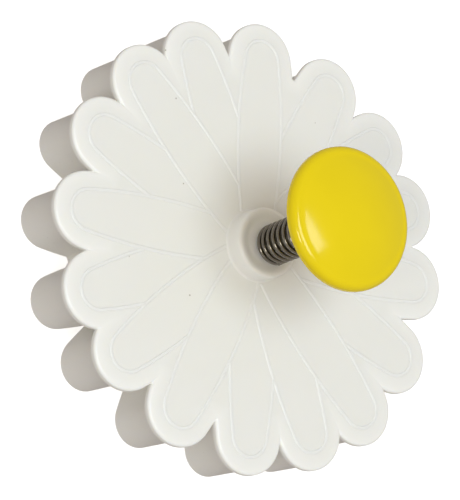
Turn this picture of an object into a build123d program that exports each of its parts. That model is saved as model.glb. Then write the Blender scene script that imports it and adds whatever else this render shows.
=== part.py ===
from build123d import *
import math
import os

# Plunger cutter for sugarpaste daisies. All lengths are in millimetres.
# The cutter stands on its cutting edge at Z = 0 with the knob pointing up,
# and the plunger slides along the Z axis.

os.makedirs("parts", exist_ok=True)

# Daisy seen from above: every petal is one shape, turned and shortened a little
daisy_reach = 35.2
edge_margin = 2.7
petal_tip_radius = 3.0
petal_half_width = 3.9
petal_belly_reach = 17.0
petal_foot_reach = 3.5
notch_floor_radius = 27.4
flank_steps = 4
tip_steps = 5

# Petals counterclockwise from +X: direction in degrees and share of the full reach
petal_angles = (20, 41.5, 65.5, 87.5, 108.5, 131.5, 157.5, 181,
                201.5, 223.5, 246.5, 269, 288.5, 312, 337, 359.5)
petal_reach_shares = (1, 1, 1, 0.995, 0.985, 0.975, 0.975, 0.985,
                      0.995, 0.995, 0.99, 0.985, 0.975, 0.97, 0.97, 0.975)
# Petals as they lie over each other, from the top one down
petal_stack = (6, 0, 13, 12, 8, 10, 15, 4, 2, 7, 5, 3, 1, 14, 11, 9)

# Cutter body
face_height = 11.0
flange_thickness = 1.6
shoulder_width = 0.9
shoulder_slope = 45
top_wall = 1.8
skirt_overhang = 0.9
wall_thickness = 0.7
ridge_width = 0.5
ridge_height = 0.25

# Collar and recess in which the spring stands
collar_radius = 5.25
collar_height = 3.0
collar_line_gap = 0.4
collar_rim_chamfer = 0.3
recess_radius = 4.25
recess_depth = 0.8
spring_seat_clearance = 0.4
recess_floor_thickness = 1.4

# Plunger stem, a round steel rod
stem_radius = 1.5
stem_running_clearance = 0.08

# Embossing plate under the top wall
plate_thickness = 2.0
plate_side_clearance = 0.35
plate_rest_gap = 0.1
emboss_height = 0.6
emboss_width = 0.8
emboss_ring_radius = 6.5
emboss_reach = 24.0
socket_boss_radius = 3.4
socket_boss_clearance = 0.4
socket_boss_gap = 0.3
socket_floor = 0.6

# Knob
knob_radius = 10.4
knob_rim_height = 21.6
knob_edge_height = 0.5
knob_crease_radius = 9.1
knob_shoulder_rise = 1.3
knob_dome_rise = 1.7
shoulder_steps = 3
dome_steps = 2
knob_hollow_radius = 8.6
knob_hollow_depth = 1.0
knob_boss_radius = 2.2
knob_boss_length = 5.0
stem_depth_in_knob = 6.3

# Return spring
wire_radius = 0.33
spring_outer_radius = 3.1
spring_quarter_turns = 60
wire_sides = 5

# Levels worked out from the sizes above
ceiling_z = face_height - top_wall
flange_bottom_z = face_height - flange_thickness
collar_top_z = face_height + collar_height
recess_floor_z = collar_top_z - recess_depth
pocket_top_z = recess_floor_z - recess_floor_thickness
plate_top_z = ceiling_z - plate_rest_gap
plate_bottom_z = plate_top_z - plate_thickness
boss_top_z = pocket_top_z - socket_boss_gap
stem_bottom_z = plate_bottom_z + socket_floor
knob_bottom_z = face_height + knob_rim_height - knob_edge_height / 2
knob_ceiling_z = knob_bottom_z + knob_hollow_depth
knob_boss_bottom_z = knob_ceiling_z - knob_boss_length
stem_top_z = knob_boss_bottom_z + stem_depth_in_knob
plunger_travel = plate_bottom_z - emboss_height
line_start_radius = collar_radius + collar_line_gap
inner_wall_inset = skirt_overhang + wall_thickness
spring_seat_radius = spring_outer_radius + spring_seat_clearance


def petal(reach, growth):
    """Petal along +X with round tip and bellied flanks, its outline moved out by growth."""
    tip_radius = petal_tip_radius + growth
    half_width = petal_half_width + growth
    tip_centre = reach - edge_margin - petal_tip_radius
    run = tip_centre - petal_belly_reach
    flank_radius = (run**2 / (half_width - tip_radius) + half_width + tip_radius) / 2
    foot_lean = math.asin((petal_foot_reach - petal_belly_reach) / flank_radius)
    tip_lean = math.asin(run / (flank_radius - tip_radius))
    edge = []
    for step in range(flank_steps):
        lean = foot_lean + (tip_lean - foot_lean) * step / flank_steps
        across = half_width - flank_radius * (1 - math.cos(lean))
        edge.append((petal_belly_reach + flank_radius * math.sin(lean), across))
    for step in range(tip_steps):
        lean = tip_lean + (math.pi / 2 - tip_lean) * step / tip_steps
        edge.append((tip_centre + tip_radius * math.sin(lean), tip_radius * math.cos(lean)))
    mirrored_edge = [(along, -across) for along, across in edge]
    with BuildSketch() as shape:
        Polygon(*mirrored_edge, (tip_centre + tip_radius, 0), *reversed(edge), align=None)
    return shape.sketch


def daisy(inset):
    """Whole daisy outline, drawn a given distance inside the edge of the flange."""
    with BuildSketch() as shape:
        Circle(notch_floor_radius - inset)
        for angle, share in zip(petal_angles, petal_reach_shares):
            add(petal(daisy_reach * share, edge_margin - inset), rotation=angle)
    return shape.sketch


def petal_lines():
    """Outlines of the petals as they lie over each other, drawn from the lowest petal up."""
    with BuildSketch() as lines:
        for number in reversed(petal_stack):
            angle = petal_angles[number]
            reach = daisy_reach * petal_reach_shares[number]
            add(petal(reach, ridge_width / 2), rotation=angle)
            add(petal(reach, -ridge_width / 2), rotation=angle, mode=Mode.SUBTRACT)
        Circle(line_start_radius, mode=Mode.SUBTRACT)
    return lines.sketch


# Shoulders of the flange: each petal rises from the side of the flange to the face
shoulders = []
for petal_angle, reach_share in zip(petal_angles, petal_reach_shares):
    with BuildPart() as shoulder:
        with BuildSketch(Plane.XY.offset(face_height - shoulder_width)):
            add(petal(daisy_reach * reach_share, edge_margin), rotation=petal_angle)
        extrude(amount=shoulder_width, taper=shoulder_slope)
    shoulders.append(shoulder.part)

# Cutter body: scalloped flange, skirt down to the cutting edge, collar on top
with BuildPart() as cutter_body:
    with BuildSketch(Plane.XY.offset(flange_bottom_z)):
        add(daisy(0))
    extrude(amount=flange_thickness - shoulder_width)
    with BuildSketch(Plane.XY.offset(flange_bottom_z)):
        Circle(notch_floor_radius - shoulder_width)
    extrude(amount=flange_thickness)
    add(shoulders)
    with BuildSketch(Plane.XY):
        add(daisy(skirt_overhang))
    extrude(amount=flange_bottom_z)
    with BuildSketch(Plane.XY.offset(face_height)):
        Circle(collar_radius)
    extrude(amount=collar_height)
    with BuildSketch(Plane.XY):
        add(daisy(inner_wall_inset))
    extrude(amount=ceiling_z, mode=Mode.SUBTRACT)
    with Locations((0, 0, recess_floor_z)):
        Cone(spring_seat_radius, recess_radius, recess_depth,
             align=(Align.CENTER, Align.CENTER, Align.MIN), mode=Mode.SUBTRACT)
    chamfer(cutter_body.edges().group_by(Axis.Z)[-1], collar_rim_chamfer)
    with BuildSketch(Plane.XY.offset(ceiling_z)):
        Circle(socket_boss_radius + socket_boss_clearance)
    extrude(amount=pocket_top_z - ceiling_z, mode=Mode.SUBTRACT)
    with BuildSketch(Plane.XY.offset(pocket_top_z)):
        Circle(stem_radius + stem_running_clearance)
    extrude(amount=collar_top_z - pocket_top_z, mode=Mode.SUBTRACT)
    with BuildSketch(Plane.XY.offset(face_height)):
        add(petal_lines())
    extrude(amount=ridge_height)
cutter_body.part.label = "cutter_body"
export_step(cutter_body.part, "parts/cutter_body.step")

# Embossing plate: slides inside the skirt and prints the petal lines into the paste
with BuildPart() as embossing_plate:
    with BuildSketch(Plane.XY.offset(plate_bottom_z)):
        add(daisy(inner_wall_inset + plate_side_clearance))
    extrude(amount=plate_thickness)
    with BuildSketch(Plane.XY.offset(plate_top_z)):
        Circle(socket_boss_radius)
    extrude(amount=boss_top_z - plate_top_z)
    with BuildSketch(Plane.XY.offset(stem_bottom_z)):
        Circle(stem_radius)
    extrude(amount=boss_top_z - stem_bottom_z, mode=Mode.SUBTRACT)
    with BuildSketch(Plane.XY.offset(plate_bottom_z)):
        for first, second in zip(petal_angles, petal_angles[1:] + (petal_angles[0] + 360,)):
            with Locations(Rotation(0, 0, (first + second) / 2)):
                Rectangle(emboss_reach, emboss_width, align=(Align.MIN, Align.CENTER))
        Circle(emboss_ring_radius)
        Circle(emboss_ring_radius - emboss_width, mode=Mode.SUBTRACT)
    extrude(amount=-emboss_height)
embossing_plate.part.label = "embossing_plate"
export_step(embossing_plate.part, "parts/embossing_plate.step")

# Plunger stem: steel rod pressed into the plate's boss below and into the knob above
with BuildPart() as plunger_stem:
    with BuildSketch(Plane.XY.offset(stem_bottom_z)):
        Circle(stem_radius)
    extrude(amount=stem_top_z - stem_bottom_z)
plunger_stem.part.label = "plunger_stem"
export_step(plunger_stem.part, "parts/plunger_stem.step")

# Knob: low dome inside a rounded rim, hollow below, with a boss that holds the stem
knob_shoulder_z = knob_bottom_z + knob_edge_height + knob_shoulder_rise
knob_top_z = knob_shoulder_z + knob_dome_rise
dome_radius = (knob_crease_radius**2 + knob_dome_rise**2) / (2 * knob_dome_rise)
dome_lean = math.asin(knob_crease_radius / dome_radius)
knob_profile = [(0, knob_bottom_z), (knob_radius, knob_bottom_z)]
for step in range(shoulder_steps + 1):
    lean = math.pi / 2 * step / shoulder_steps
    across = knob_crease_radius + (knob_radius - knob_crease_radius) * math.cos(lean)
    knob_profile.append((across, knob_shoulder_z - knob_shoulder_rise * (1 - math.sin(lean))))
for step in range(1, dome_steps):
    lean = dome_lean * (1 - step / dome_steps)
    knob_profile.append((dome_radius * math.sin(lean), knob_top_z - dome_radius * (1 - math.cos(lean))))
knob_profile.append((0, knob_top_z))
with BuildPart() as knob:
    with BuildSketch(Plane.XZ):
        Polygon(*knob_profile, align=None)
    revolve(axis=Axis.Z)
    with BuildSketch(Plane.XY.offset(knob_bottom_z)):
        Circle(knob_hollow_radius)
    extrude(amount=knob_hollow_depth, mode=Mode.SUBTRACT)
    with BuildSketch(Plane.XY.offset(knob_ceiling_z)):
        Circle(knob_boss_radius)
    extrude(amount=-knob_boss_length)
    with BuildSketch(Plane.XY.offset(knob_boss_bottom_z)):
        Circle(stem_radius)
    extrude(amount=stem_depth_in_knob, mode=Mode.SUBTRACT)
knob.part.label = "knob"
export_step(knob.part, "parts/knob.step")

# Return spring: one unbroken wire of open turns between the recess and the knob
coil_radius = spring_outer_radius - wire_radius
spring_start_z = recess_floor_z + wire_radius
spring_end_z = knob_ceiling_z - wire_radius
quarter_rise = (spring_end_z - spring_start_z) / spring_quarter_turns


def coil_point(quarters):
    """Point on the spring's middle line after a number of quarter turns."""
    turned = math.radians(90 * quarters)
    return Vector(
        coil_radius * math.cos(turned),
        coil_radius * math.sin(turned),
        spring_start_z + quarter_rise * quarters,
    )


def coil_direction(quarters):
    """Direction in which the wire runs there."""
    turned = math.radians(90 * quarters)
    rise_per_radian = quarter_rise / math.radians(90)
    return Vector(
        -coil_radius * math.sin(turned), coil_radius * math.cos(turned), rise_per_radian
    ).normalized()


with BuildPart() as return_spring:
    with BuildLine() as coil:
        for quarter in range(spring_quarter_turns):
            start, end = coil_point(quarter), coil_point(quarter + 1)
            leaving, arriving = coil_direction(quarter), coil_direction(quarter + 1)
            chord = end - start
            turning = 2 * (1 - leaving.dot(arriving))
            along = chord.dot(leaving + arriving)
            reach = (math.sqrt(along**2 + turning * chord.dot(chord)) - along) / turning
            first, second = start + leaving * reach, end - arriving * reach
            middle = (first + second) * 0.5
            TangentArc(start, middle, tangent=leaving)
            TangentArc(middle, end, tangent=second - first)
    with BuildSketch(Plane(origin=coil_point(0), z_dir=coil_direction(0))):
        RegularPolygon(wire_radius, wire_sides)
    sweep()
return_spring.part.label = "return_spring"
export_step(return_spring.part, "parts/return_spring.step")

samples_per_quarter = 12
sample_count = spring_quarter_turns * samples_per_quarter + 1
samples = [coil_point(step / samples_per_quarter) for step in range(sample_count)]
half_turn = 2 * samples_per_quarter
least = min(
    (samples[i] - samples[j]).length
    for i in range(len(samples))
    for j in range(i + half_turn, min(len(samples), i + 3 * half_turn))
)
print("least gap of the spring to itself", round(least - 2 * wire_radius, 3), "mm")
print("turns", spring_quarter_turns / 4, "pitch", round(4 * quarter_rise, 3), "mm")
print("plunger travel", round(plunger_travel, 3), "mm")
print("spring at rest", round(knob_ceiling_z - recess_floor_z, 3), "mm from", round(recess_floor_z, 3), "mm")
print("top of the knob", round(knob_top_z, 3), "mm")
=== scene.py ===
# %% [markdown]
# # A plunger cutter for sugarpaste daisies
# The real tool is pressed into rolled paste. Its thin skirt cuts the daisy, and a spring-loaded
# plate inside pushes the flower out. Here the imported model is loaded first, because the pieces
# below take their main heights from it, and the stem and the knob their widths too. These could
# be typed in again, but read from the model they can't drift away from it.

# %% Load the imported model
import math

import bmesh
import bpy
from mathutils import Matrix, Vector


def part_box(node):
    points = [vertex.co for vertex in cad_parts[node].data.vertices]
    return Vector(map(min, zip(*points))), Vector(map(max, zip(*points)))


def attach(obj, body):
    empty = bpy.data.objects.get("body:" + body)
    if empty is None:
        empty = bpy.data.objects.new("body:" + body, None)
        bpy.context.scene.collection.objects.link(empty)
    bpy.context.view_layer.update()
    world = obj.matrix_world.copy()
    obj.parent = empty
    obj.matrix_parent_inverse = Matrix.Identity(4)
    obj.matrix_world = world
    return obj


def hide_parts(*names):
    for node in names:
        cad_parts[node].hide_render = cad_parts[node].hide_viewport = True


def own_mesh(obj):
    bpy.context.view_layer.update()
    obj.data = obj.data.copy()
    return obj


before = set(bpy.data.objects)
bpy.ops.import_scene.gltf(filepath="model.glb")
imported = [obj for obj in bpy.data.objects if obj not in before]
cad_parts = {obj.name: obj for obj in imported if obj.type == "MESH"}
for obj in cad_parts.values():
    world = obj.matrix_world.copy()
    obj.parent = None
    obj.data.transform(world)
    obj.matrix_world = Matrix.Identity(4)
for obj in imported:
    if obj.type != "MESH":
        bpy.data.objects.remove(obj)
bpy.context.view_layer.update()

mm = 0.001
body_low, body_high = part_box("cutter_body")
plate_low, plate_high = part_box("embossing_plate")
stem_low, stem_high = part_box("plunger_stem")
knob_low, knob_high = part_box("knob")
print("cutter", round(body_high.z / mm, 2), "mm high, knob top at", round(knob_high.z / mm, 2), "mm")

# %% [markdown]
# ## The daisy outline
# Sixteen petals of one shape stand round the middle, each turned and shortened a little, as if
# the pattern for the mould had been cut by hand. A petal has a round tip and slightly bellied
# flanks, so two arcs describe it. The outline could be traced by hand, point by point, but arcs
# can be drawn again at any inset, so the two sides of a wall stay parallel.

# %% Sizes of the daisy
daisy_reach = 35.15 * mm
edge_margin = 2.7 * mm
petal_tip_radius = 3.0 * mm
petal_half_width = 3.9 * mm
petal_belly_reach = 17.0 * mm
petal_foot_reach = 3.5 * mm
notch_floor_radius = 27.4 * mm
notch_softness = 0.35 * mm
petal_angles = (20, 41.5, 65.5, 87.5, 108.5, 131.5, 157.5, 181,
                201.5, 223.5, 246.5, 269, 288.5, 312, 337, 359.5)
petal_reach_shares = (1, 1, 1, 0.995, 0.985, 0.975, 0.975, 0.985,
                      0.995, 0.995, 0.99, 0.985, 0.975, 0.97, 0.97, 0.975)
petal_stack = (6, 0, 13, 12, 8, 10, 15, 4, 2, 7, 5, 3, 1, 14, 11, 9)
petal_count = len(petal_angles)


class Petal:
    """One petal of the daisy, its outline moved out by growth and its flanks drawn in by pinch."""

    def __init__(self, number, growth, pinch=0):
        self.turn = math.radians(petal_angles[number])
        reach = daisy_reach * petal_reach_shares[number]
        self.tip_radius = petal_tip_radius + growth - pinch
        self.half_width = petal_half_width + growth - pinch
        self.tip_centre = reach - edge_margin - petal_tip_radius + pinch
        run = self.tip_centre - petal_belly_reach
        widening = self.half_width - self.tip_radius
        self.flank_radius = (run**2 / widening + self.half_width + self.tip_radius) / 2
        self.tip_lean = math.asin(run / (self.flank_radius - self.tip_radius))
        self.foot_lean = math.asin((petal_foot_reach - petal_belly_reach) / self.flank_radius)
        self.tip_length = self.tip_radius * (math.pi / 2 - self.tip_lean)
        self.length = self.tip_length + self.flank_radius * (self.tip_lean - self.foot_lean)

    def point(self, distance, side):
        """Point on the edge, a distance from the tip along the left (1) or right (-1) flank."""
        if distance < self.tip_length:
            lean = math.pi / 2 - distance / self.tip_radius
            along = self.tip_centre + self.tip_radius * math.sin(lean)
            across = self.tip_radius * math.cos(lean)
        else:
            lean = self.tip_lean - (distance - self.tip_length) / self.flank_radius
            along = petal_belly_reach + self.flank_radius * math.sin(lean)
            across = self.half_width - self.flank_radius * (1 - math.cos(lean))
        return Matrix.Rotation(self.turn, 2) @ Vector((along, side * across))

    def covers(self, point):
        """Whether a point lies inside this petal."""
        along, across = Matrix.Rotation(-self.turn, 2) @ point
        if along > self.tip_centre + self.tip_radius * math.sin(self.tip_lean):
            return math.hypot(along - self.tip_centre, across) < self.tip_radius
        if along < petal_foot_reach:
            return False
        drop = math.hypot(along - petal_belly_reach, abs(across) + self.flank_radius - self.half_width)
        return drop < self.flank_radius


print("petals", petal_count, "of", round(2 * petal_half_width / mm, 1), "mm width")

# %% [markdown]
# ## Rings of points
# A mould maker would cut the same outline at several depths. In Blender that is a ring of points
# for each depth: the same number of points in the same order, so that rings can be joined by
# faces one to one. Blender's inset tool could make the next ring from the last, but it can cross
# itself in deep notches, so each ring is worked out anew. Where two petals meet, a short curve
# rounds the notch, as the mould does.

# %% One ring of the daisy at an inset and a height
flank_points = 14
notch_points = 7
halvings = 30


def crossing(petal, side, neighbour, floor_radius):
    """Distance from the tip at which a petal's edge runs into its neighbour or the notch floor."""
    near, far = 0, petal.length
    for _ in range(halvings):
        middle = (near + far) / 2
        place = petal.point(middle, side)
        if neighbour.covers(place) or place.length < floor_radius:
            far = middle
        else:
            near = middle
    return near


def daisy_ring(inset, height, pinch=0):
    """Closed ring of points along the daisy outline, counterclockwise."""
    growth = edge_margin - inset
    floor_radius = notch_floor_radius - inset - pinch / 2
    petals = [Petal(number, growth, pinch) for number in range(petal_count)]
    ring = []
    for number, petal in enumerate(petals):
        following = petals[(number + 1) % petal_count]
        before = petals[number - 1]
        right_end = crossing(petal, -1, before, floor_radius) - notch_softness
        left_end = crossing(petal, 1, following, floor_radius) - notch_softness
        for step in range(flank_points, 0, -1):
            ring.append(petal.point(right_end * step / flank_points, -1))
        for step in range(flank_points + 1):
            ring.append(petal.point(left_end * step / flank_points, 1))
        next_end = crossing(following, -1, petal, floor_radius)
        curve = [petal.point(left_end, 1), petal.point(left_end + notch_softness, 1),
                 following.point(next_end, -1), following.point(next_end - notch_softness, -1)]
        for step in range(1, notch_points):
            share = step / notch_points
            rest = 1 - share
            ring.append(curve[0] * rest**3 + curve[1] * 3 * share * rest**2
                        + curve[2] * 3 * share**2 * rest + curve[3] * share**3)
    return [Vector((point.x, point.y, height)) for point in ring]


print("a ring has", len(daisy_ring(0, 0)), "points")

# %% [markdown]
# ## The cutter body
# The body is one moulding: a flange with rounded edge, a thin skirt below it and a collar on top.
# It could be carved with booleans, but rings extruded one after another give clean, even walls:
# from the inner corner down to the cutting edge, up the outside, round the flange to the face.
# The flange stands out over the skirt at the tips, and more so between them, because the lobes of
# the skirt are slimmer than those of the flange and their notches deeper.

# %% Sizes of the body
face_height = 11.0 * mm
flange_thickness = 1.2 * mm
shoulder_width = 0.5 * mm
crown_width = edge_margin
crown_drop = 0.12 * mm
skirt_overhang = 0.9 * mm
skirt_pinch = 0.85 * mm
wall_thickness = 0.7 * mm
top_wall = 1.8 * mm
small_round = 0.15 * mm
flange_bottom = face_height - flange_thickness
ceiling = face_height - top_wall
inner_inset = skirt_overhang + wall_thickness
cut_edge = body_low.z
print("skirt", round((flange_bottom - cut_edge) / mm, 2), "mm high")


def face_level(inset):
    """Height of the top surface, which is slightly crowned towards the edge and rounded there."""
    level = face_height - crown_drop * (1 - inset / crown_width)**2
    if inset < shoulder_width:
        level -= (shoulder_width - crown_drop) * (1 - math.sqrt(1 - (1 - inset / shoulder_width)**2))
    return level


# %% Rings of the body, from the inner corner to the face
skirt_rings = [
    (inner_inset + small_round, ceiling),
    (inner_inset, ceiling - small_round),
    (inner_inset, cut_edge + small_round),
    (inner_inset - small_round, cut_edge),
    (skirt_overhang + small_round, cut_edge),
    (skirt_overhang, cut_edge + small_round),
    (skirt_overhang, flange_bottom - 2 * small_round),
    (skirt_overhang - small_round, flange_bottom),
]
outline_rings = [
    (small_round, flange_bottom),
    (0, flange_bottom + small_round),
]
shoulder_steps = 7
for step in range(shoulder_steps + 1):
    inset = shoulder_width * (1 - math.cos(math.pi / 2 * step / shoulder_steps))
    outline_rings.append((inset, face_level(inset)))
crown_steps = 5
for step in range(1, crown_steps + 1):
    inset = shoulder_width + (crown_width - shoulder_width) * step / crown_steps
    outline_rings.append((inset, face_level(inset)))
rings = [daisy_ring(inset, height, skirt_pinch) for inset, height in skirt_rings]
rings += [daisy_ring(inset, height) for inset, height in outline_rings]
print("body has", len(rings), "rings")

# %% [markdown]
# ## Working in edit mode
# The mesh grows as by hand in Blender's edit mode: the points of a circle are laid on the first
# ring, and its open rim is extruded and laid on each of the others. Each point keeps its seat in
# the ring as an attribute, so it finds its place again after every step. A mesh could also be
# written down as lists of points and faces, but operators close each step by themselves and read
# like the work at the bench.

# %% Start the body from a circle
def only(*pieces):
    """Leaves just these pieces selected, the first one active."""
    bpy.ops.object.select_all(action="DESELECT")
    for piece in pieces:
        piece.select_set(True)
    bpy.context.view_layer.objects.active = pieces[0]


def start_ring(name, points):
    """A circle primitive whose points are laid on an outline. Each point remembers its seat."""
    bpy.ops.object.select_all(action="DESELECT")
    bpy.ops.mesh.primitive_circle_add(vertices=len(points), radius=daisy_reach, fill_type="NOTHING")
    piece = bpy.context.active_object
    piece.name = piece.data.name = name
    seat = piece.data.attributes.new("seat", "INT", "POINT")
    for number, (vertex, point) in enumerate(zip(piece.data.vertices, points)):
        vertex.co = point
        seat.data[number].value = number
    return piece


body = start_ring("daisy_cutter_body", rings[0])
print("body starts with", len(body.data.vertices), "points")


# %% Extrude the body ring by ring
def add_rings(piece, rings):
    """Extrudes the open rim once for each ring and lays the new points on it."""
    only(piece)
    bpy.ops.object.mode_set(mode="EDIT")
    for points in rings:
        bpy.ops.mesh.extrude_region_move()
        cast = bmesh.from_edit_mesh(piece.data)
        seat = cast.verts.layers.int["seat"]
        for vertex in cast.verts:
            if vertex.select:
                vertex.co = points[vertex[seat]]
        bmesh.update_edit_mesh(piece.data)
    bpy.ops.object.mode_set(mode="OBJECT")


add_rings(body, rings[1:])
print("body has", len(body.data.polygons), "faces")

# %% [markdown]
# ## The collar
# The collar in the middle holds the spring and guides the plunger. A cylinder with a hole cut
# through it would do, but the collar has a filleted root and a soft crest. It is round, so it is
# turned from a profile like a part on a lathe, and then joined to the body by filling the flat
# faces between them. Its recess is a soft dish round a flat floor, which keeps the foot of the
# spring near the middle, so its side follows half a wave instead of a wall and a corner.

# %% Sizes of the collar
collar_radius = 5.25 * mm
collar_crest = 0.5 * mm
collar_root = 0.35 * mm
dish_radius = collar_radius - collar_crest
recess_depth = 0.36 * mm
recess_floor_thickness = 1.7 * mm
spring_seat_radius = 3.2 * mm
pocket_radius = 3.8 * mm
bore_radius = 1.58 * mm
collar_top = body_high.z
recess_floor = collar_top - recess_depth
pocket_top = recess_floor - recess_floor_thickness
print("collar", round((collar_top - face_height) / mm, 2), "mm high")


# %% Draw the profile of the collar
def arc(centre, width, height, start, end, steps):
    """Points of an arc round a centre, for a profile. Angles are in degrees."""
    points = []
    for step in range(steps + 1):
        turn = math.radians(start + (end - start) * step / steps)
        points.append((centre[0] + width * math.cos(turn), centre[1] + height * math.sin(turn)))
    return points


fillet_steps = 6
dish_steps = 12
collar_profile = arc((collar_radius + collar_root, face_height + collar_root),
                     collar_root, collar_root, 270, 180, fillet_steps)
collar_profile += arc((collar_radius - collar_crest, collar_top - collar_crest),
                      collar_crest, collar_crest, 0, 90, fillet_steps)
for step in range(dish_steps + 1):
    share = step / dish_steps
    radius = dish_radius + (spring_seat_radius - dish_radius) * share
    collar_profile.append((radius, recess_floor + recess_depth * (1 + math.cos(math.pi * share)) / 2))
collar_profile += [
    (bore_radius + small_round, recess_floor),
    (bore_radius, recess_floor - small_round),
    (bore_radius, pocket_top),
    (pocket_radius, pocket_top),
    (pocket_radius, ceiling),
]
print("profile of the collar has", len(collar_profile), "points")

# %% Spin the profile
seam_tolerance = 0.002 * mm


def turned_part(name, profile, segments=96):
    """Spins a profile of (radius, height) points round the Z axis, as on a lathe."""
    bpy.ops.object.select_all(action="DESELECT")
    bpy.ops.mesh.primitive_plane_add(size=mm)
    piece = bpy.context.active_object
    piece.name = piece.data.name = name
    bpy.ops.object.mode_set(mode="EDIT")
    bpy.ops.mesh.select_mode(type="VERT")
    bpy.ops.mesh.merge(type="CENTER")
    here = Vector((0, 0, 0))
    for number, (radius, height) in enumerate(profile):
        there = Vector((radius, 0, height))
        if number == 0:
            bpy.ops.transform.translate(value=there - here)
        else:
            bpy.ops.mesh.extrude_vertices_move(TRANSFORM_OT_translate={"value": there - here})
        here = there
    bpy.ops.mesh.select_all(action="SELECT")
    bpy.ops.mesh.spin(steps=segments, angle=math.tau, axis=(0, 0, 1), center=(0, 0, 0))
    bpy.ops.mesh.select_all(action="SELECT")
    bpy.ops.mesh.remove_doubles(threshold=seam_tolerance)
    bpy.ops.mesh.normals_make_consistent(inside=False)
    bpy.ops.object.mode_set(mode="OBJECT")
    return piece


collar = turned_part("collar", collar_profile)
print("collar has", len(collar.data.polygons), "faces")

# %% Join the collar to the body and close the flat faces between them
level_tolerance = 0.001 * mm


def join(piece, *others):
    """Makes the others part of the first piece."""
    only(piece, *others)
    bpy.ops.object.join()


def select_edges(piece, wanted):
    """In edit mode, selects just the edges that a test accepts."""
    bpy.ops.mesh.select_mode(type="EDGE")
    bpy.ops.mesh.select_all(action="DESELECT")
    cast = bmesh.from_edit_mesh(piece.data)
    for edge in cast.edges:
        if wanted(edge):
            edge.select_set(True)
    bmesh.update_edit_mesh(piece.data)


def close_level(piece, level):
    """Fills the flat surface between the open rims that lie at one height."""
    only(piece)
    bpy.ops.object.mode_set(mode="EDIT")
    select_edges(piece, lambda edge: edge.is_boundary and all(
        abs(vertex.co.z - level) < level_tolerance for vertex in edge.verts))
    bpy.ops.mesh.fill(use_beauty=True)
    bpy.ops.object.mode_set(mode="OBJECT")


join(body, collar)
close_level(body, face_height)
close_level(body, ceiling)
print("body and collar have", len(body.data.polygons), "faces")


# %% Shade the body smooth
def finish_shape(piece, sharp=35):
    """Turns the normals out and shades the round surfaces smooth."""
    only(piece)
    bpy.ops.object.mode_set(mode="EDIT")
    bpy.ops.mesh.select_all(action="SELECT")
    bpy.ops.mesh.normals_make_consistent(inside=False)
    cast = bmesh.from_edit_mesh(piece.data)
    open_edges = sum(edge.is_boundary for edge in cast.edges)
    bpy.ops.object.mode_set(mode="OBJECT")
    bpy.ops.object.shade_smooth_by_angle(angle=math.radians(sharp))
    if "seat" in piece.data.attributes:
        piece.data.attributes.remove(piece.data.attributes["seat"])
    piece.data.calc_loop_triangles()
    print(piece.name, "has", len(piece.data.loop_triangles), "triangles,", open_edges, "open edges")


finish_shape(body)

# %% Mark the field of petals, which the mould left less polished than the border round it; the border is also painted lighter, a painted sheen
level_slack = 0.01
petal_field = body.data.attributes.new("petal_field", "FLOAT", "POINT")
for vertex, mark in zip(body.data.vertices, petal_field.data):
    drop = (face_height - vertex.co.z) / crown_drop
    mark.value = 1 - math.sqrt(max(0, drop)) if -level_slack < drop < 1 else 0
print("field points", sum(mark.value > 1 - level_slack for mark in petal_field.data))

# %% [markdown]
# ## The petal lines
# Fine raised lines draw the petals on the face, each petal lying over or under its neighbours.
# A line is seen only where no higher petal covers it. The lines could be a bump in the material,
# but a real bead catches the light from every side. So each seen stretch becomes a curve, whose
# bevel is a low bead with a flattened top.

# %% Find the stretches of petal edge that show
ridge_width = 0.56 * mm
ridge_height = 0.12 * mm
ridge_sink = 0.02 * mm
root_cover_share = 0.6
hub_radius = collar_radius + collar_root * root_cover_share
ridge_steps = 70
shortest_run = 3
plain_petals = [Petal(number, 0) for number in range(petal_count)]


def shown_stretches(number):
    """Runs of points along a petal's edge that no higher petal and not the collar covers."""
    higher = [plain_petals[other] for other in petal_stack[:petal_stack.index(number)]]
    petal = plain_petals[number]
    distances = [petal.length * step / ridge_steps for step in range(ridge_steps + 1)]
    edge = [petal.point(distance, -1) for distance in reversed(distances)]
    edge += [petal.point(distance, 1) for distance in distances[1:]]
    stretches, run = [], []
    for point in edge:
        if point.length < hub_radius or any(other.covers(point) for other in higher):
            if len(run) >= shortest_run:
                stretches.append(run)
            run = []
        else:
            run.append(point)
    if len(run) >= shortest_run:
        stretches.append(run)
    return stretches


lines = [stretch for number in petal_stack for stretch in shown_stretches(number)]
print("petal lines", len(lines), "stretches")

# %% Draw the lines as curves with a bead for a section and make them one mesh
bead_steps = 12
bead_flatness = 4


def bead_section(name, width, height, sink):
    """Closed curve of a low bead with a flattened top, used as the section of a raised line."""
    bpy.ops.object.select_all(action="DESELECT")
    bpy.ops.curve.primitive_nurbs_path_add()
    section = bpy.context.active_object
    section.name = name
    section.data.splines.clear()
    section.data.dimensions = "2D"
    spline = section.data.splines.new("POLY")
    spline.points.add(bead_steps)
    for step in range(bead_steps + 1):
        share = 2 * step / bead_steps - 1
        rise = (height + sink) * (1 - share**bead_flatness) - sink
        spline.points[step].co = (share * width / 2, rise, 0, 1)
    spline.use_cyclic_u = True
    return section


def raised_lines(name, stretches, section, height):
    """One mesh of all the lines, drawn by curves that follow the stretches."""
    bpy.ops.object.select_all(action="DESELECT")
    bpy.ops.curve.primitive_nurbs_path_add()
    drawing = bpy.context.active_object
    drawing.name = drawing.data.name = name
    drawing.data.splines.clear()
    drawing.data.dimensions = "3D"
    drawing.data.twist_mode = "Z_UP"
    drawing.data.bevel_mode = "OBJECT"
    drawing.data.bevel_object = section
    drawing.data.use_fill_caps = True
    for stretch in stretches:
        spline = drawing.data.splines.new("POLY")
        spline.points.add(len(stretch) - 1)
        for place, point in zip(spline.points, stretch):
            place.co = (point.x, point.y, height, 1)
    only(drawing)
    bpy.ops.object.convert(target="MESH")
    return bpy.context.active_object


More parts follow.
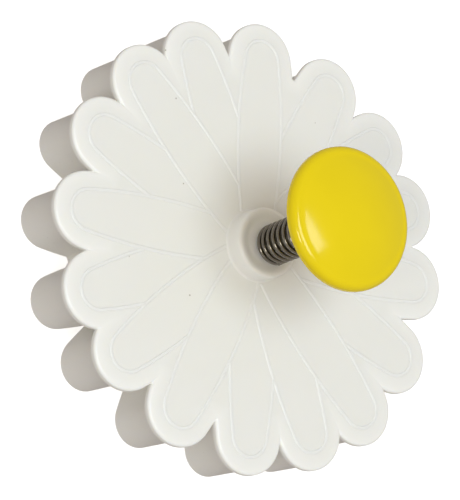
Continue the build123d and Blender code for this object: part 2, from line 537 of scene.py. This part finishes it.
section = bead_section("ridge_section", ridge_width, ridge_height, ridge_sink)
petal_ridges = raised_lines("petal_lines", lines, section, face_height)
bpy.data.objects.remove(section)
finish_shape(petal_ridges, sharp=60)

# %% [markdown]
# ## The embossing plate
# The plate fills the inside of the skirt and slides in it. It takes the same outline, further in,
# with a boss on top that grips the steel stem, and bars below that press veins into the paste. It
# could be cut out of the body's inside with a boolean, but rings of its own keep an even gap.

# %% Sizes of the plate
plate_clearance = 0.35 * mm
plate_round = 0.25 * mm
corner_cut = 0.3 * plate_round
emboss_height = 0.6 * mm
emboss_width = 0.8 * mm
emboss_ring_radius = 6.5 * mm
emboss_reach = 24.0 * mm
boss_radius = 3.4 * mm
plate_thickness = 2.0 * mm
plate_inset = inner_inset + plate_clearance
plate_top = plate_low.z + emboss_height + plate_thickness
plate_bottom = plate_low.z + emboss_height
boss_top = plate_high.z
stem_radius = (stem_high.x - stem_low.x) / 2
print("plate", round((plate_top - plate_bottom) / mm, 2), "mm thick")

# %% Make the plate and its boss
plate_levels = [
    (plate_round, plate_top),
    (corner_cut, plate_top - corner_cut),
    (0, plate_top - plate_round),
    (0, plate_bottom + plate_round),
    (corner_cut, plate_bottom + corner_cut),
    (plate_round, plate_bottom),
]
plate_rings = [daisy_ring(plate_inset + inset, height, skirt_pinch) for inset, height in plate_levels]
plate = start_ring("vein_plate", plate_rings[0])
add_rings(plate, plate_rings[1:])
boss = turned_part("boss", [
    (boss_radius, plate_top),
    (boss_radius, boss_top - plate_round),
    (boss_radius - plate_round, boss_top),
    (stem_radius, boss_top),
    (stem_radius, stem_low.z),
    (0, stem_low.z),
])
join(plate, boss)
close_level(plate, plate_top)
close_level(plate, plate_bottom)
print("plate has", len(plate_rings), "rings and a boss", round((boss_top - plate_top) / mm, 2), "mm high")

# %% Press the vein bars and the ring out of the plate's underside
bar_start = emboss_ring_radius - emboss_width / 2
bar_bevel = 0.2 * mm
bar_bevel_segments = 3
bars = []
for first, second in zip(petal_angles, petal_angles[1:] + (petal_angles[0] + 360,)):
    turn = math.radians((first + second) / 2)
    bpy.ops.object.select_all(action="DESELECT")
    bpy.ops.mesh.primitive_cube_add(size=1)
    bar = bpy.context.active_object
    bar.data.transform(Matrix.Diagonal((emboss_reach - bar_start, emboss_width, 2 * emboss_height, 1)))
    bar.data.transform(Matrix.Translation(((emboss_reach + bar_start) / 2, 0, plate_bottom)))
    bar.data.transform(Matrix.Rotation(turn, 4, "Z"))
    bars.append(bar)
ring_bar = turned_part("ring_bar", [
    (emboss_ring_radius - emboss_width, plate_bottom + emboss_height),
    (emboss_ring_radius, plate_bottom + emboss_height),
    (emboss_ring_radius, plate_low.z),
    (emboss_ring_radius - emboss_width, plate_low.z),
    (emboss_ring_radius - emboss_width, plate_bottom + emboss_height),
])
veins = bars[0]
veins.name = veins.data.name = "veins"
join(veins, *bars[1:], ring_bar)
only(veins)
bpy.ops.object.modifier_add(type="BEVEL")
veins.modifiers["Bevel"].width = bar_bevel
veins.modifiers["Bevel"].segments = bar_bevel_segments
bpy.ops.object.modifier_apply(modifier="Bevel")
join(plate, veins)
finish_shape(plate)

# %% [markdown]
# ## The stem
# A drawn steel rod with lightly chamfered ends, pressed into the plate and the knob. A cylinder
# with a bevel would do as well, but turned from a short profile it gets both ends in one step.

# %% Turn the stem
stem_chamfer = 0.2 * mm
stem_segments = 48
stem = turned_part("steel_stem", [
    (0, stem_low.z),
    (stem_radius - stem_chamfer, stem_low.z),
    (stem_radius, stem_low.z + stem_chamfer),
    (stem_radius, stem_high.z - stem_chamfer),
    (stem_radius - stem_chamfer, stem_high.z),
    (0, stem_high.z),
], segments=stem_segments)
finish_shape(stem)

# %% [markdown]
# ## The knob
# The knob is pushed by the thumb: a round yellow cap with a soft shoulder, a crease inside it and
# a low dome. Below it is hollow, with a boss that holds the stem. A squashed sphere would miss the
# crease between shoulder and dome, on which the light breaks. All of it is round, so one profile is
# spun, from the top of the dome round the rim to the bore.

# %% Sizes of the knob
knob_radius = (knob_high.x - knob_low.x) / 2
knob_crease_radius = 9.1 * mm
knob_dome_rise = 1.7 * mm
knob_shoulder_rise = 1.3 * mm
knob_edge_height = 0.5 * mm
knob_hollow_radius = 8.6 * mm
knob_hollow_depth = 1.0 * mm
knob_boss_radius = 2.2 * mm
knob_segments = 160
dome_steps = 14
shoulder_arc_steps = 12
edge_steps = 3
knob_top = knob_high.z
crease_height = knob_top - knob_dome_rise
knob_bottom = crease_height - knob_shoulder_rise - knob_edge_height
hollow_ceiling = knob_bottom + knob_hollow_depth
dome_radius = (knob_crease_radius**2 + knob_dome_rise**2) / (2 * knob_dome_rise)
dome_lean = math.degrees(math.asin(knob_crease_radius / dome_radius))
print("knob", round(2 * knob_radius / mm, 1), "mm wide")

# %% Turn the knob
knob_profile = arc((0, knob_top - dome_radius),
                   dome_radius, dome_radius, 90, 90 - dome_lean, dome_steps)
knob_profile += arc((knob_crease_radius, crease_height - knob_shoulder_rise),
                    knob_radius - knob_crease_radius, knob_shoulder_rise, 90, 0, shoulder_arc_steps)[1:]
knob_profile += arc((knob_radius - small_round, knob_bottom + small_round),
                    small_round, small_round, 0, -90, edge_steps)
knob_profile += [
    (knob_hollow_radius, knob_bottom),
    (knob_hollow_radius, hollow_ceiling),
    (knob_boss_radius, hollow_ceiling),
    (knob_boss_radius, knob_low.z + small_round),
    (knob_boss_radius - small_round, knob_low.z),
    (stem_radius, knob_low.z),
    (stem_radius, stem_high.z),
    (0, stem_high.z),
]
knob = turned_part("thumb_knob", knob_profile, segments=knob_segments)
finish_shape(knob)

# %% [markdown]
# ## The return spring
# A compression spring of hard round wire. Its end turns lie closed against their neighbours, and
# the turns between stand open. The Screw modifier winds a spring too, but every turn the same, so
# a curve through the middle of the wire, with a round bevel, is worked out turn by turn. The foot
# is free in its recess and has settled a little to one side, where it rests on the slope of the
# dish, just above the floor. The lean fades as the square of the distance from the top, so the
# coil stays clear of the boss inside the knob when the knob is pressed.

# %% Sizes of the spring
wire_radius = 0.33 * mm
spring_outer_radius = 3.1 * mm
coil_radius = spring_outer_radius - wire_radius
spring_turns = 15
spring_top_gap = 0.08 * mm
steps_per_turn = 40
closed_pitch = 2.05 * wire_radius
closed_turns = 0.8
opening_turns = 0.6
foot_shift = Vector((0.64, 0.56)) * mm
foot_lift = 0.08 * mm
spring_start = recess_floor + foot_lift + wire_radius
spring_end = hollow_ceiling - spring_top_gap - wire_radius
print("spring", spring_turns, "turns in", round((spring_end - spring_start) / mm, 2), "mm")


# %% Work out the middle line of the wire
def openness(turn):
    """0 where the turns lie closed at the ends, 1 where they stand fully open."""
    from_end = min(turn, spring_turns - turn)
    share = min(1, max(0, (from_end - closed_turns) / opening_turns))
    return share * share * (3 - 2 * share)


step_count = spring_turns * steps_per_turn
open_share = sum(openness((step + 0.5) / steps_per_turn) for step in range(step_count)) / steps_per_turn
open_extra = (spring_end - spring_start - closed_pitch * spring_turns) / open_share
height = spring_start
coil = []
for step in range(step_count + 1):
    turn = step / steps_per_turn
    centre = foot_shift * ((spring_end - height) / (spring_end - spring_start))**2
    coil.append((centre.x + coil_radius * math.cos(math.tau * turn),
                 centre.y + coil_radius * math.sin(math.tau * turn), height, 1))
    height += (closed_pitch + open_extra * openness(turn + 0.5 / steps_per_turn)) / steps_per_turn
print("open pitch", round((closed_pitch + open_extra) / mm, 3), "mm")

# %% Draw the wire and make it a mesh
wire_bevel_resolution = 4
bpy.ops.object.select_all(action="DESELECT")
bpy.ops.curve.primitive_nurbs_path_add()
spring = bpy.context.active_object
spring.name = spring.data.name = "return_spring_wire"
spring.data.splines.clear()
spring.data.dimensions = "3D"
wire = spring.data.splines.new("POLY")
wire.points.add(step_count)
for place, point in zip(wire.points, coil):
    place.co = point
spring.data.bevel_depth = wire_radius
spring.data.bevel_resolution = wire_bevel_resolution
spring.data.use_fill_caps = True
only(spring)
bpy.ops.object.convert(target="MESH")
spring = bpy.context.active_object
finish_shape(spring)

# %% [markdown]
# ## Materials
# Colours are written as sRGB hex values, as a picker shows them, and one function turns them to
# the linear values that Blender's shaders need. A second small function adds a node with its
# settings and links. Nodes could be wired one link at a time, but this way each material reads
# from its pattern to its shader. A socket goes by its name, or by its number where two share a
# name, as the colours of a Mix node and the values of a Math node do.

# %% Colours
def linear(hex_colour):
    """Linear RGBA of an sRGB hex colour."""
    channels = []
    for start in (0, 2, 4):
        value = int(hex_colour[start:start + 2], 16) / 255
        channels.append(value / 12.92 if value <= 0.04045 else ((value + 0.055) / 1.055)**2.4)
    return (*channels, 1)


print("mid grey 808080 is", round(linear("808080")[0], 3), "in linear light")

# %% Nodes and materials
mix_first = 6
mix_second = 7
mix_result = 2


def add_node(material, kind, settings=None, inputs=None):
    """Adds a node. settings are its own values, inputs are values or links for its sockets."""
    tree = material.node_tree
    node = tree.nodes.new(kind)
    for name, value in (settings or {}).items():
        setattr(node, name, value)
    for name, value in (inputs or {}).items():
        if isinstance(value, bpy.types.NodeSocket):
            tree.links.new(value, node.inputs[name])
        else:
            node.inputs[name].default_value = value
    return node


def new_material(name):
    """An empty node material and its Principled shader, which is linked to the output."""
    material = bpy.data.materials.new(name)
    material.use_nodes = True
    material.node_tree.nodes.clear()
    shader = add_node(material, "ShaderNodeBsdfPrincipled")
    add_node(material, "ShaderNodeOutputMaterial", inputs={"Surface": shader.outputs["BSDF"]})
    return material, shader


print("a Mix node takes its colours at", mix_first, "and", mix_second, "and gives one at", mix_result)

# %% [markdown]
# ### White plastic
# The cutter is moulded in white polystyrene, polished only where the mould was. It is bright, a
# little warm and faintly translucent, and its gloss is soft, because the mould was blasted fine.
# The border round the petals is smoother, and its white is painted a shade lighter, a painted
# sheen for the light that it catches. A used cutter also holds a few dark specks of dust, so a few
# cells of a Voronoi pattern carry a dot. One flat white would look like paper, and a picture of the
# surface would stretch with the part in another size, so all of it is drawn by nodes in real
# millimetres.

# %% White plastic of the cutter
grain_size = 0.35 * mm
sink_size = 9 * mm
speck_spacing = 4 * mm
speck_radius = 0.08 * mm
speck_cell_share = 0.22
white_plastic, white_shader = new_material("moulded_white_polystyrene")
place = add_node(white_plastic, "ShaderNodeTexCoord").outputs["Object"]
sink = add_node(white_plastic, "ShaderNodeTexNoise", inputs={
    "Vector": place, "Scale": 1 / sink_size, "Detail": 2.0})
grain = add_node(white_plastic, "ShaderNodeTexNoise", inputs={
    "Vector": place, "Scale": 1 / grain_size, "Detail": 3.0})
field = add_node(white_plastic, "ShaderNodeAttribute", {"attribute_name": "petal_field"}).outputs["Fac"]
matt = add_node(white_plastic, "ShaderNodeMix", {"data_type": "RGBA"}, {
    "Factor": sink.outputs["Fac"], mix_first: linear("f1f1ec"), mix_second: linear("eeeee7")})
# Painted sheen: the border, the petal lines and the other white parts outside the petal field take a
# lighter white than the field.
painted_sheen_border = add_node(white_plastic, "ShaderNodeMix", {"data_type": "RGBA"}, {
    "Factor": field, mix_first: linear("f7f7f2"), mix_second: matt.outputs[mix_result]})
print("grain", round(grain_size / mm, 2), "mm and sink marks", round(sink_size / mm), "mm wide")

# %% Specks of dust on the white plastic
cells = add_node(white_plastic, "ShaderNodeTexVoronoi", inputs={
    "Vector": place, "Scale": 1 / speck_spacing})
near = add_node(white_plastic, "ShaderNodeMapRange", inputs={
    "Value": cells.outputs["Distance"], "From Min": speck_radius / speck_spacing,
    "From Max": 2 * speck_radius / speck_spacing, "To Min": 1.0, "To Max": 0.0})
chance = add_node(white_plastic, "ShaderNodeSeparateColor", inputs={"Color": cells.outputs["Color"]})
chosen = add_node(white_plastic, "ShaderNodeMath", {"operation": "LESS_THAN"}, {
    0: chance.outputs["Red"], 1: speck_cell_share})
speck = add_node(white_plastic, "ShaderNodeMath", {"operation": "MULTIPLY"}, {
    0: near.outputs["Result"], 1: chosen.outputs["Value"]})
tone = add_node(white_plastic, "ShaderNodeMix", {"data_type": "RGBA"}, {
    "Factor": speck.outputs["Value"], mix_first: painted_sheen_border.outputs[mix_result], mix_second: linear("b0aca0")})
print("specks up to", round(4 * speck_radius / mm, 2), "mm wide, in", speck_cell_share, "of the cells")

# %% Gloss of the white plastic
polish = add_node(white_plastic, "ShaderNodeMapRange", inputs={
    "Value": field, "To Min": -0.08, "To Max": 0.0})
rough = add_node(white_plastic, "ShaderNodeMapRange", inputs={
    "Value": grain.outputs["Fac"], "To Min": 0.32, "To Max": 0.44})
gloss = add_node(white_plastic, "ShaderNodeMath", {"operation": "ADD"}, {
    0: rough.outputs["Result"], 1: polish.outputs["Result"]})
bump = add_node(white_plastic, "ShaderNodeBump", inputs={
    "Height": grain.outputs["Fac"], "Strength": 0.08, "Distance": 0.03 * mm})
tree = white_plastic.node_tree
tree.links.new(tone.outputs[mix_result], white_shader.inputs["Base Color"])
tree.links.new(gloss.outputs["Value"], white_shader.inputs["Roughness"])
tree.links.new(bump.outputs["Normal"], white_shader.inputs["Normal"])
white_shader.inputs["IOR"].default_value = 1.5
white_shader.inputs["Subsurface Weight"].default_value = 0.15
white_shader.inputs["Subsurface Radius"].default_value = (1.0, 0.85, 0.6)
white_shader.inputs["Subsurface Scale"].default_value = 0.8 * mm
print(white_plastic.name, "has", len(tree.nodes), "nodes")

# %% [markdown]
# ### Yellow plastic
# The knob is moulded in a strong opaque yellow and polished, so it carries clear highlights. A
# clear coat would look lacquered. The shine of the plastic itself is enough, with a roughness that
# varies a little, as the polish does, and a faint wave where the plastic flowed.

# %% Yellow plastic of the knob
flow_size = 6 * mm
polish_size = 0.4 * mm
yellow_plastic, yellow_shader = new_material("polished_yellow_plastic")
place = add_node(yellow_plastic, "ShaderNodeTexCoord").outputs["Object"]
flow = add_node(yellow_plastic, "ShaderNodeTexNoise", inputs={
    "Vector": place, "Scale": 1 / flow_size, "Detail": 2.0})
fine = add_node(yellow_plastic, "ShaderNodeTexNoise", inputs={
    "Vector": place, "Scale": 1 / polish_size, "Detail": 2.0})
tone = add_node(yellow_plastic, "ShaderNodeMix", {"data_type": "RGBA"}, {
    "Factor": flow.outputs["Fac"], mix_first: linear("f0d600"), mix_second: linear("ead000")})
gloss = add_node(yellow_plastic, "ShaderNodeMapRange", inputs={
    "Value": fine.outputs["Fac"], "To Min": 0.11, "To Max": 0.17})
bump = add_node(yellow_plastic, "ShaderNodeBump", inputs={
    "Height": flow.outputs["Fac"], "Strength": 0.1, "Distance": 0.05 * mm})
tree = yellow_plastic.node_tree
tree.links.new(tone.outputs[mix_result], yellow_shader.inputs["Base Color"])
tree.links.new(gloss.outputs["Result"], yellow_shader.inputs["Roughness"])
tree.links.new(bump.outputs["Normal"], yellow_shader.inputs["Normal"])
yellow_shader.inputs["IOR"].default_value = 1.5
yellow_shader.inputs["Specular IOR Level"].default_value = 0.38
print(yellow_plastic.name, "has", len(tree.nodes), "nodes")

# %% [markdown]
# ### Steel
# The spring is wound from hard drawn wire and the stem cut from bright drawn rod. Drawing leaves
# fine lines along the steel. The wire is smoother than the rod, and darker between its highlights.
# The shader's anisotropy could spread the highlights, but it needs a direction along the wire. A
# noise stretched along Z gives the rod its lines. On the wire the real lines follow the coil, but
# it is so thin that the same noise looks right there. Real lines are finer than a render shows,
# so these are drawn 0.15 mm apart.

# %% Steel of the spring and the stem
line_spacing = 0.15 * mm


def drawn_steel(name, light, dark, roughness, stretch):
    """Bright steel with fine drawing lines. stretch is the mapping scale of the lines."""
    material, shader = new_material(name)
    place = add_node(material, "ShaderNodeTexCoord").outputs["Object"]
    along = add_node(material, "ShaderNodeMapping", inputs={"Vector": place, "Scale": stretch})
    streak = add_node(material, "ShaderNodeTexNoise", inputs={
        "Vector": along.outputs["Vector"], "Scale": 1 / line_spacing, "Detail": 3.0})
    tone = add_node(material, "ShaderNodeMix", {"data_type": "RGBA"}, {
        "Factor": streak.outputs["Fac"], mix_first: linear(light), mix_second: linear(dark)})
    bump = add_node(material, "ShaderNodeBump", inputs={
        "Height": streak.outputs["Fac"], "Strength": 0.15, "Distance": 0.01 * mm})
    tree = material.node_tree
    tree.links.new(tone.outputs[mix_result], shader.inputs["Base Color"])
    tree.links.new(bump.outputs["Normal"], shader.inputs["Normal"])
    shader.inputs["Metallic"].default_value = 1.0
    shader.inputs["Roughness"].default_value = roughness
    print(name, "has", len(tree.nodes), "nodes")
    return material


spring_steel = drawn_steel("drawn_spring_steel", "a19c92", "5c574e", 0.11, (1, 1, 0.2))
rod_steel = drawn_steel("bright_steel_rod", "9a948a", "7c766c", 0.3, (1, 1, 0.05))

# %% [markdown]
# ## What moves with what
# Plate, stem and knob are pressed together and slide as one plunger. The rest stays with the
# cutter, and so does the spring. Each pose could be modelled by hand. Here every piece rides on
# its body instead, and takes the place of the plain solid that it stands for, if there is one, so
# one scene serves all poses.

# %% Give every piece its material, its body and the node that it stands for
pieces = [
    (body, white_plastic, "cutter", ["cutter_body"], "white_plastic"),
    (petal_ridges, white_plastic, "cutter", [], "white_plastic"),
    (plate, white_plastic, "plunger", ["embossing_plate"], "plate_plastic"),
    (stem, rod_steel, "plunger", ["plunger_stem"], "steel_rod"),
    (knob, yellow_plastic, "plunger", ["knob"], "knob_plastic"),
    (spring, spring_steel, "cutter", ["return_spring"], "spring_steel"),
]
for piece, material, carrier, nodes, slot_name in pieces:
    piece.data.materials.clear()
    piece.data.materials.append(material)
    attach(piece, carrier)
    if nodes:
        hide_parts(*nodes)
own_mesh(spring)
print("pieces", len(pieces))

# %% [markdown]
# ## Floor and light
# The photograph is a studio shot on white, and the floor stands in for its white ground. It glows
# a little, so that it comes out white, and is hidden from diffuse and glossy rays, so that its
# glow doesn't light the cutter. A soft warm sky lights the cutter from all round, brighter from
# above. A large cool softbox hangs over it, a weak one stands low on the camera's side, and a
# small one between them gives the glint on the knob's shoulder and on the wire. A picture of a
# studio could light it too, but here each lamp can be set by itself. The cool key against the
# warm sky is what turns the shadows of white plastic to a light tan.

# %% Floor
floor_size = 8
floor_drop = 0.05 * mm
bpy.ops.object.select_all(action="DESELECT")
bpy.ops.mesh.primitive_plane_add(size=floor_size, location=(0, 0, -floor_drop))
floor = bpy.context.active_object
floor.name = "studio_floor"
floor_white, floor_shader = new_material("white_paper_floor")
floor_shader.inputs["Base Color"].default_value = linear("fcfcfa")
floor_shader.inputs["Roughness"].default_value = 0.9
floor_shader.inputs["Emission Color"].default_value = linear("ffffff")
floor_shader.inputs["Emission Strength"].default_value = 0.55
floor.data.materials.append(floor_white)
floor.visible_diffuse = False
floor.visible_glossy = False
print("floor", floor_size, "m wide")

# %% Sky
sky_above = 0.5
sky_below = 0.38
warm_sky = (1.0, 0.92, 0.86, 1)
world = bpy.data.worlds.new("soft_sky")
bpy.context.scene.world = world
world.use_nodes = True
sky = world.node_tree.nodes["Background"]
sky.inputs["Color"].default_value = warm_sky
direction = add_node(world, "ShaderNodeTexCoord").outputs["Generated"]
parts = add_node(world, "ShaderNodeSeparateXYZ", inputs={"Vector": direction})
fade = add_node(world, "ShaderNodeMapRange", inputs={
    "Value": parts.outputs["Z"], "From Min": -1.0, "To Min": sky_below, "To Max": sky_above})
world.node_tree.links.new(fade.outputs["Result"], sky.inputs["Strength"])
print("sky", sky_below, "from below and", sky_above, "from above")

# %% Softboxes
light_aim = Vector((0, 0, 15 * mm))


def soft_light(name, place, size, power, colour):
    """A square area light that faces the cutter."""
    bpy.ops.object.select_all(action="DESELECT")
    bpy.ops.object.light_add(type="AREA", location=place)
    lamp = bpy.context.active_object
    lamp.name = name
    lamp.data.size = size
    lamp.data.energy = power
    lamp.data.color = colour
    lamp.rotation_euler = (Vector(place) - light_aim).to_track_quat("Z", "Y").to_euler()
    print(name, power, "W")


key_place = (0.04, -0.15, 0.9)
side_place = (0.2, -0.75, 0.45)
glint_place = (0.05, -0.66, 0.58)
cool_white = (0.84, 0.935, 1.0)
soft_white = (1.0, 0.97, 0.93)
glint_white = (1.0, 0.97, 0.91)
soft_light("key_softbox", key_place, 0.44, 3.85, cool_white)
soft_light("side_softbox", side_place, 0.8, 0.35, soft_white)
soft_light("glint_softbox", glint_place, 0.2, 1.0, glint_white)
bpy.context.scene.view_settings.view_transform = "Standard"

# %% [markdown]
# ## The camera
# The photograph looks at the cutter from 37 degrees off the axis of the plunger, through a long
# lens, and has it rolled in the frame. A Track To constraint could aim the camera, but not roll
# it, so the directions of the image's right, its top and the way back to the camera are worked
# out and make up its matrix.

# %% Camera
view_tilt = math.radians(37)
view_roll = math.radians(73.5)
view_distance = 385 * mm
view_left = 3.93 * mm
view_down = 0.63 * mm
lens_length = 204.6
sensor_width = 36
nearest_seen = 10 * mm
view_aim = Vector((0, 0, 11 * mm))
across_zero = Vector((1, 0, 0))
up_zero = Vector((0, math.cos(view_tilt), math.sin(view_tilt)))
towards = Vector((0, -math.sin(view_tilt), math.cos(view_tilt)))
image_right = across_zero * math.cos(view_roll) + up_zero * math.sin(view_roll)
image_up = up_zero * math.cos(view_roll) - across_zero * math.sin(view_roll)
camera_place = view_aim - image_right * view_left - image_up * view_down + towards * view_distance
bpy.ops.object.camera_add()
camera = bpy.context.active_object
camera.matrix_world = Matrix.Translation(camera_place) @ Matrix(
    (image_right, image_up, towards)).transposed().to_4x4()
camera.data.lens = lens_length
camera.data.sensor_width = sensor_width
camera.data.sensor_fit = "HORIZONTAL"
camera.data.clip_start = nearest_seen
bpy.context.scene.camera = camera
print("camera", round(view_distance / mm), "mm away")
